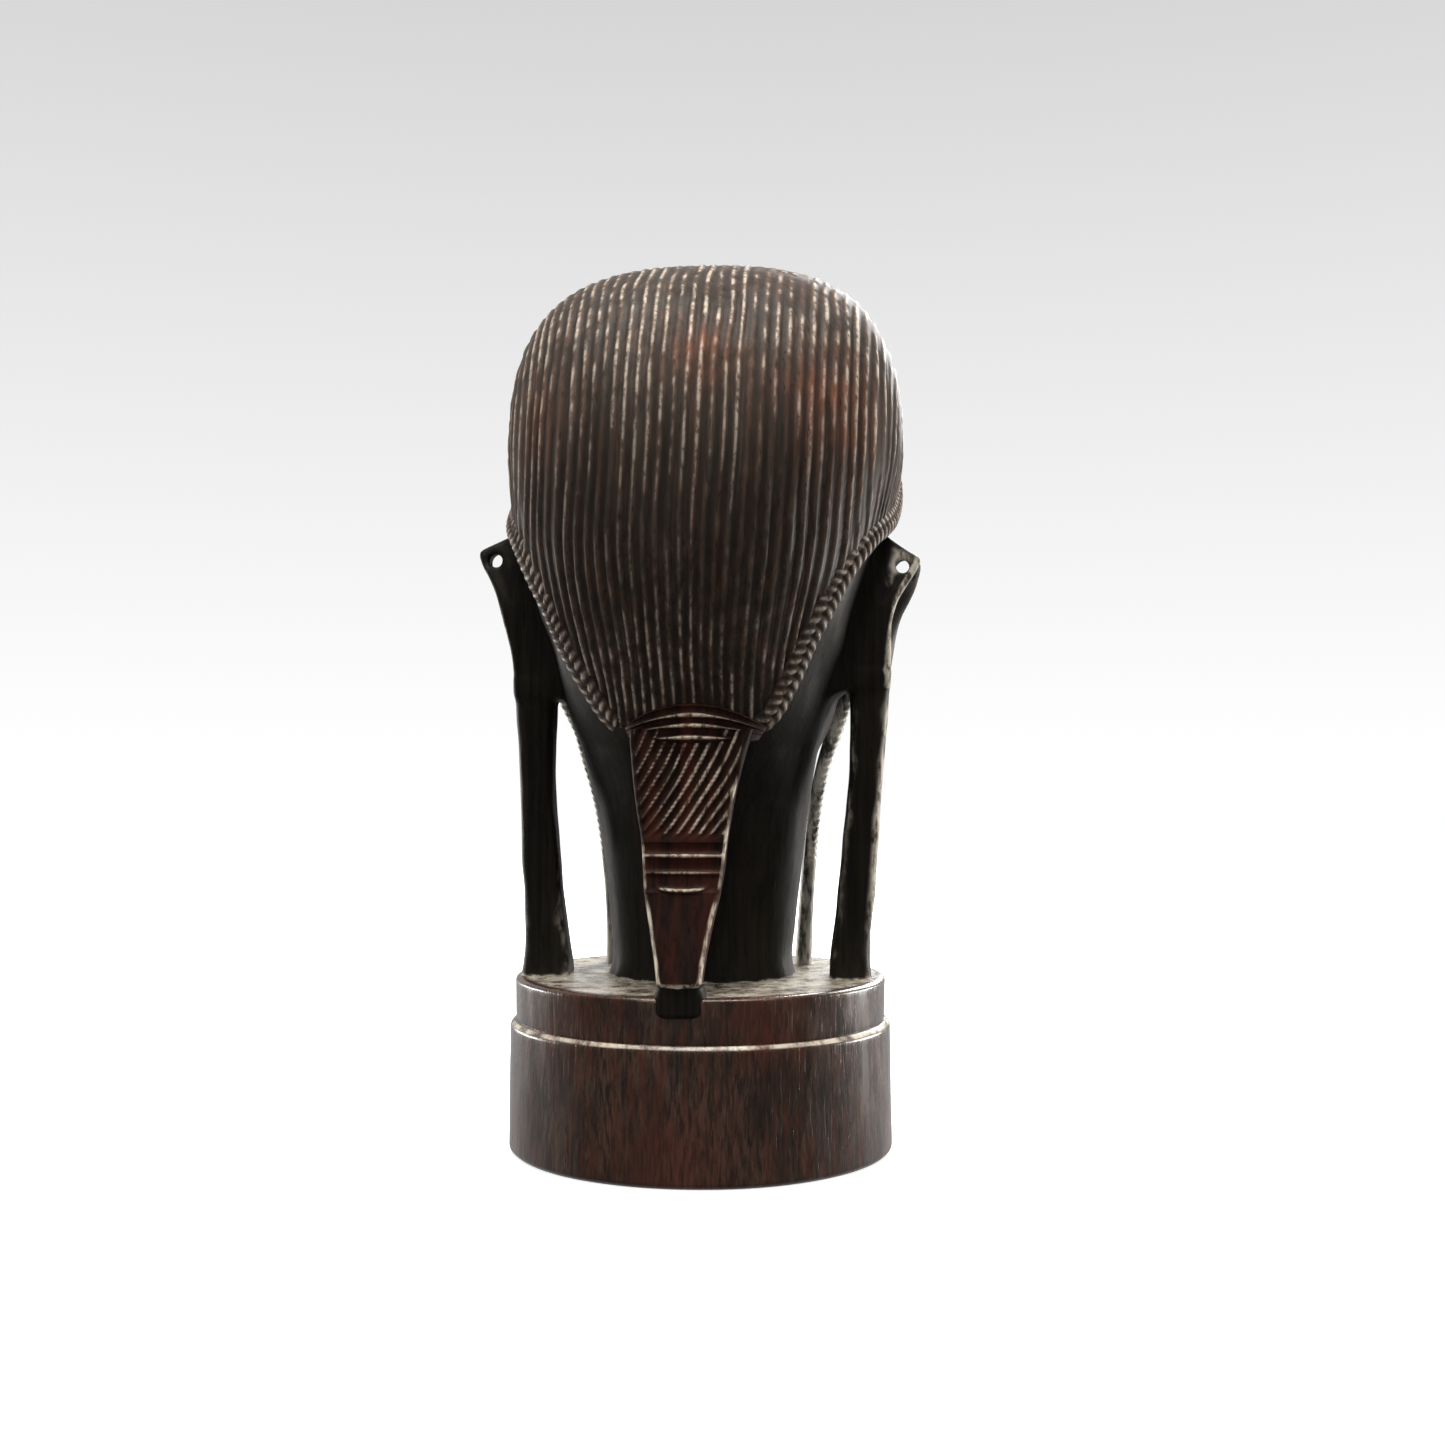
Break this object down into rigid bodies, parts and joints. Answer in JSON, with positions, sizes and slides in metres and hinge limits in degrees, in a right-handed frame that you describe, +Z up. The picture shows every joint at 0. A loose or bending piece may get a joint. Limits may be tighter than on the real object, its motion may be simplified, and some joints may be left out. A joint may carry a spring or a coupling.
{
  "type": "carved wooden bust",
  "caption": "Dark hardwood bust with grooved hair cap, braided hairline, bound queue, pierced ears with free strands, and a round two-tier plinth.",
  "frame": {"origin": "middle of the plinth's underside, which rests on the table", "axes": "+Z up along the figure, the face looks along -Y, +X to the figure's own left"},
  "size_m": [0.1008, 0.0974, 0.2],
  "materials": {
    "plinth_wood": "waxed dark hardwood with reddish streaks along the grain and pale worn edges",
    "skin_wood": "near-black waxed hardwood, satin",
    "hair_wood": "dark hardwood with fine tooled grooves, ridges rubbed lighter",
    "queue_wood": "reddish brown heartwood, smooth and waxed, light chamfered edges"
  },
  "bodies": {
    "root": {"plinth_base": "plinth_wood", "plinth_step": "plinth_wood", "neck": "skin_wood", "head": "skin_wood", "nose": "skin_wood", "lips": "skin_wood", "eye_left": "skin_wood", "eye_right": "skin_wood", "hair_crown": "hair_wood", "hairline_front": "hair_wood", "hairline_braid_left": "hair_wood", "hairline_braid_right": "hair_wood", "ear_left": "skin_wood", "ear_right": "skin_wood", "outer_strand_left": "skin_wood", "outer_strand_right": "skin_wood", "inner_strand_left": "skin_wood", "inner_strand_right": "skin_wood", "queue_tie": "hair_wood", "queue_twist": "queue_wood", "queue_bands": "queue_wood", "queue_tip": "queue_wood", "queue_support": "skin_wood"}
  },
  "joints": []
}
